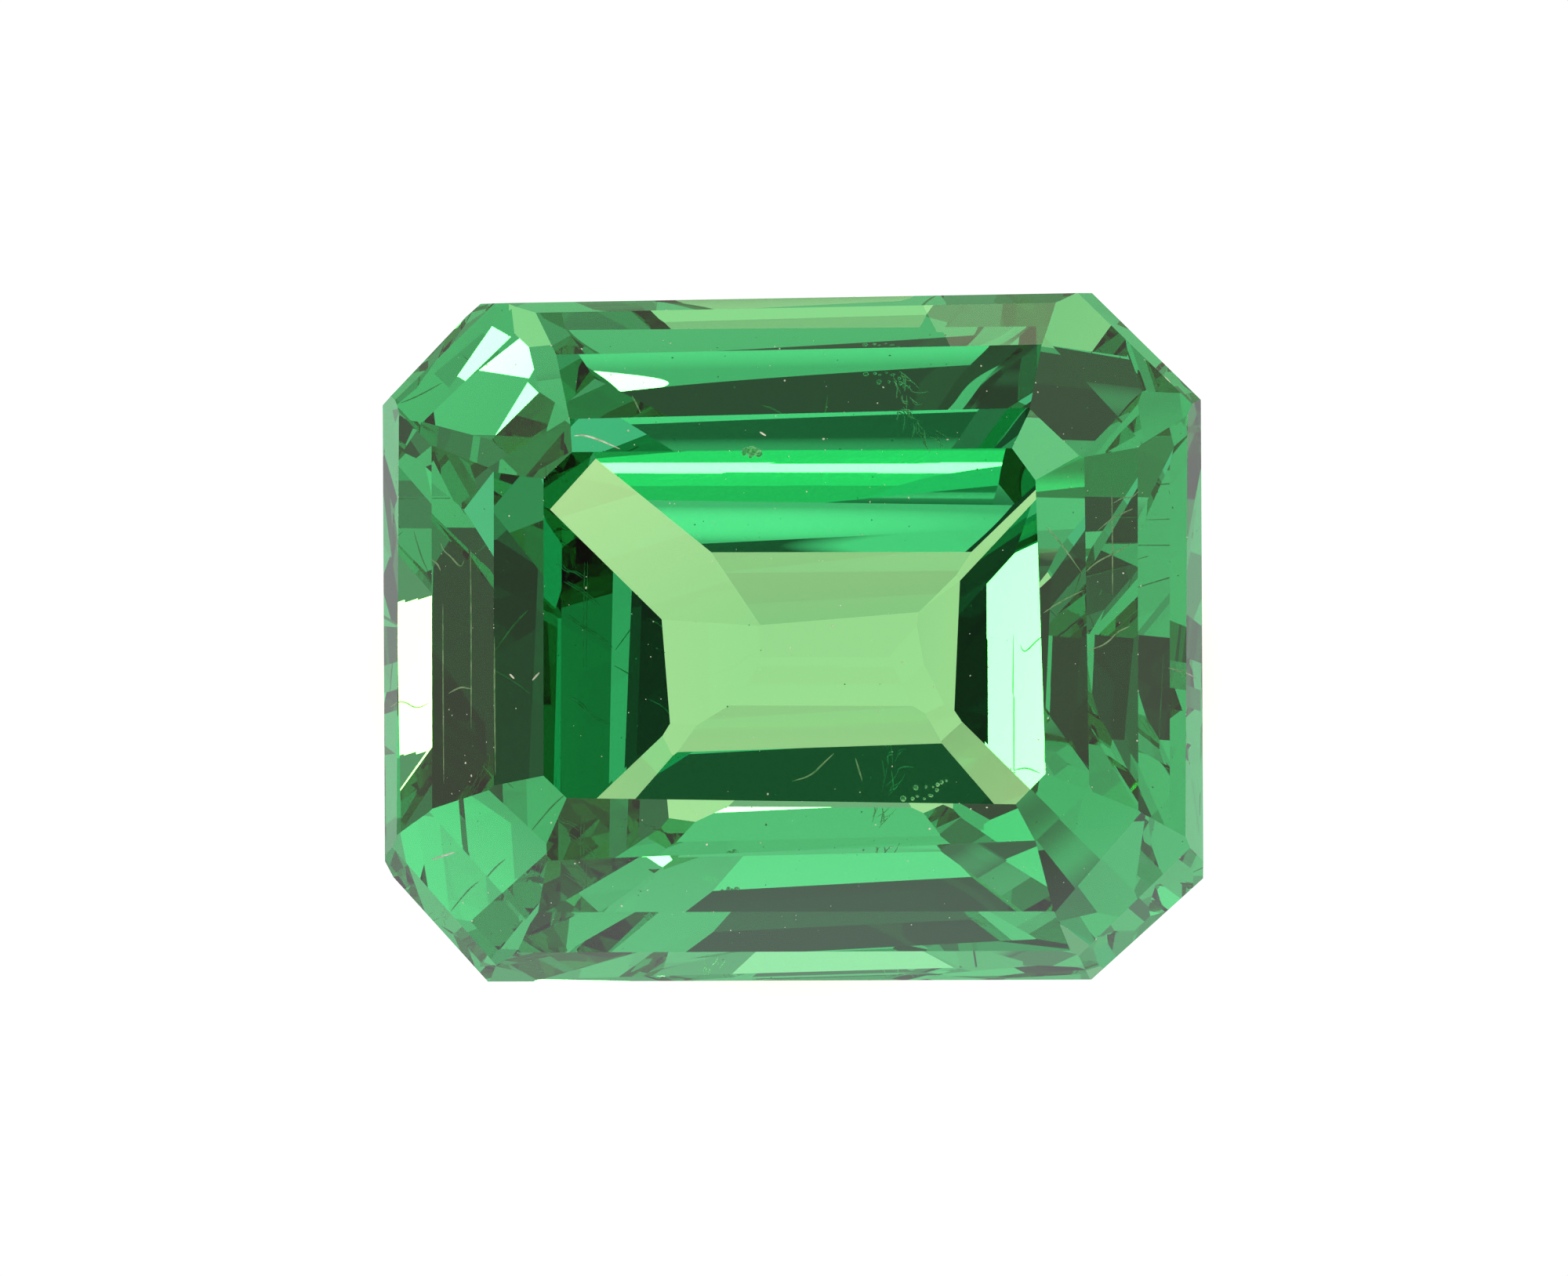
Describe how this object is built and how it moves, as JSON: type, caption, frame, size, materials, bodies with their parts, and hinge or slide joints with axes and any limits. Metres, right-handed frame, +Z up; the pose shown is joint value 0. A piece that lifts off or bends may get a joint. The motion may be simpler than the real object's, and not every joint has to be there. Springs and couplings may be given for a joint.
{
  "type": "step cut tsavorite garnet",
  "caption": "Loose clear green gemstone in a rectangular step cut with cropped corners: a flat table, stepped crown rows, a thin girdle and a deep stepped pavilion",
  "frame": {"origin": "on the ground under the middle of the stone's bounding box, as it lies on one of its front pavilion facets", "axes": "+X along the stone's long side, +Z up, and the table faces between -Y and +Z"},
  "size_m": [0.0066, 0.0044, 0.0043],
  "materials": {
    "tsavorite": "polished facets"
  },
  "bodies": {
    "root": {"tsavorite_stone": "tsavorite"}
  },
  "joints": []
}
